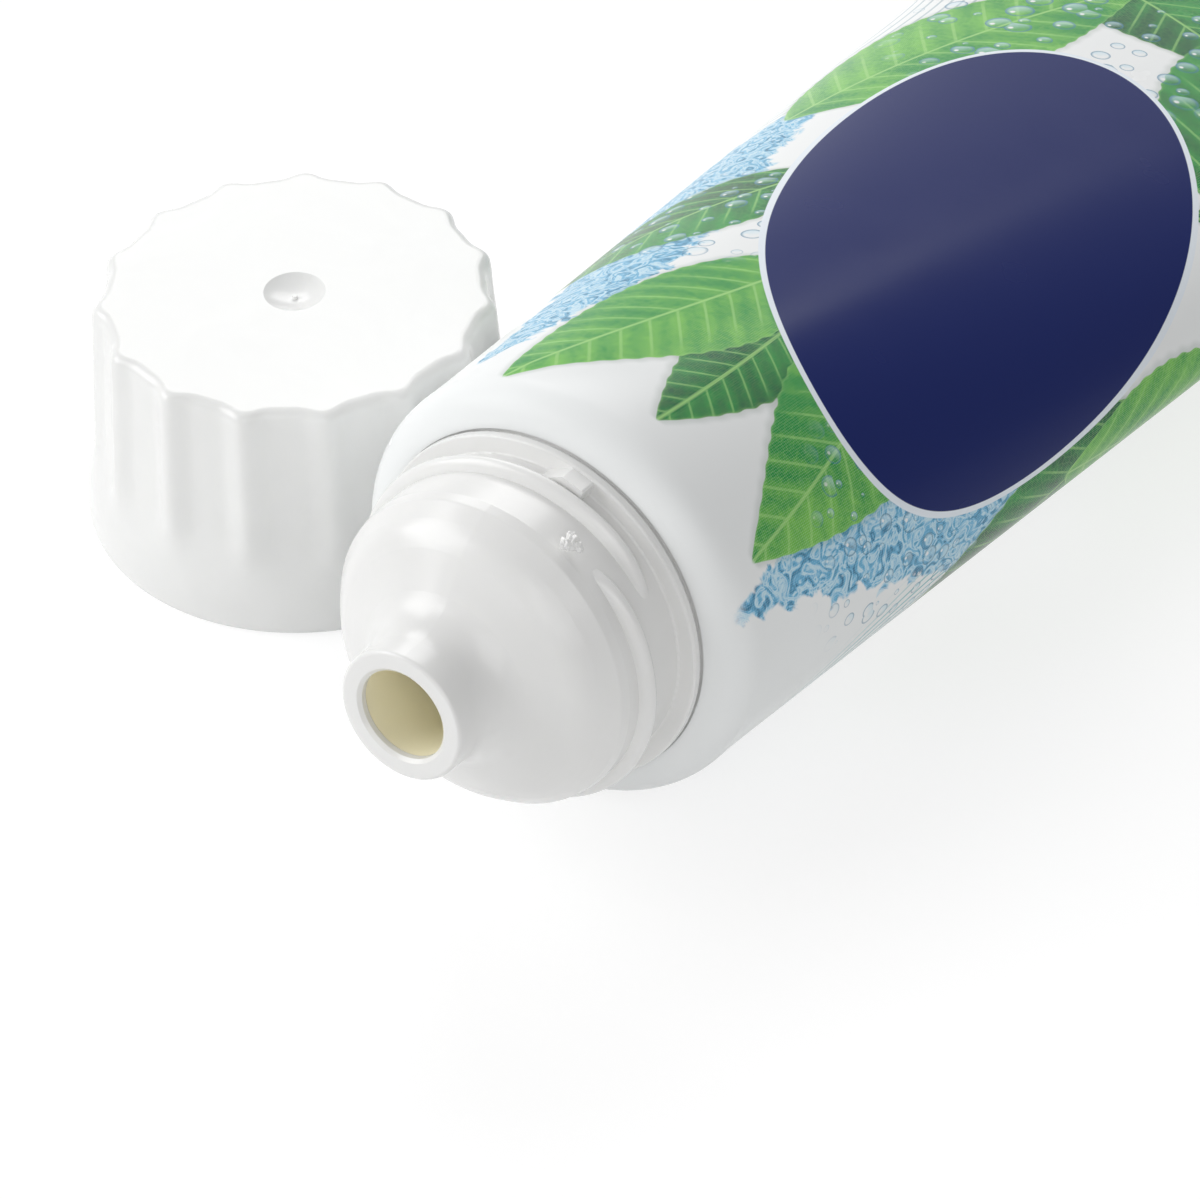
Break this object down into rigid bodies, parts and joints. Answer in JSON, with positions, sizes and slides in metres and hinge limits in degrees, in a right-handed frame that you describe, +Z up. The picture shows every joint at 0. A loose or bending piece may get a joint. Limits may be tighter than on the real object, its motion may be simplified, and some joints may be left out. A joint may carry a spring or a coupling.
{
  "type": "toothpaste tube",
  "caption": "Plump laminate toothpaste tube lying on its side, open at the threaded nozzle, with a flat crimped tail and its fluted screw cap standing beside it.",
  "frame": {"origin": "on the table, under the middle of the resting group's bounding box", "axes": "+X from the nozzle to the crimped tail, +Y towards the side where the cap stands, +Z up; the tube's own axis is tilted 6.6 degrees, nozzle up, about Y"},
  "size_m": [0.1828, 0.0887, 0.038],
  "materials": {
    "laminate": "glossy printed laminate",
    "shoulder_plastic": "moulded, satin gloss",
    "barrier_plastic": "moulded, satin",
    "paste": "wet gloss",
    "cap_plastic": "moulded, glossy"
  },
  "bodies": {
    "tube": {"sleeve": "laminate", "shoulder": "shoulder_plastic", "barrier_insert": "barrier_plastic", "paste": "paste"},
    "cap": {"cap": "cap_plastic"}
  },
  "joints": [
    {"name": "cap_lift", "type": "slide", "parent": "tube", "child": "cap", "axis": [0, 0.5, 0.866], "range_m": [0, 0.06]}
  ]
}
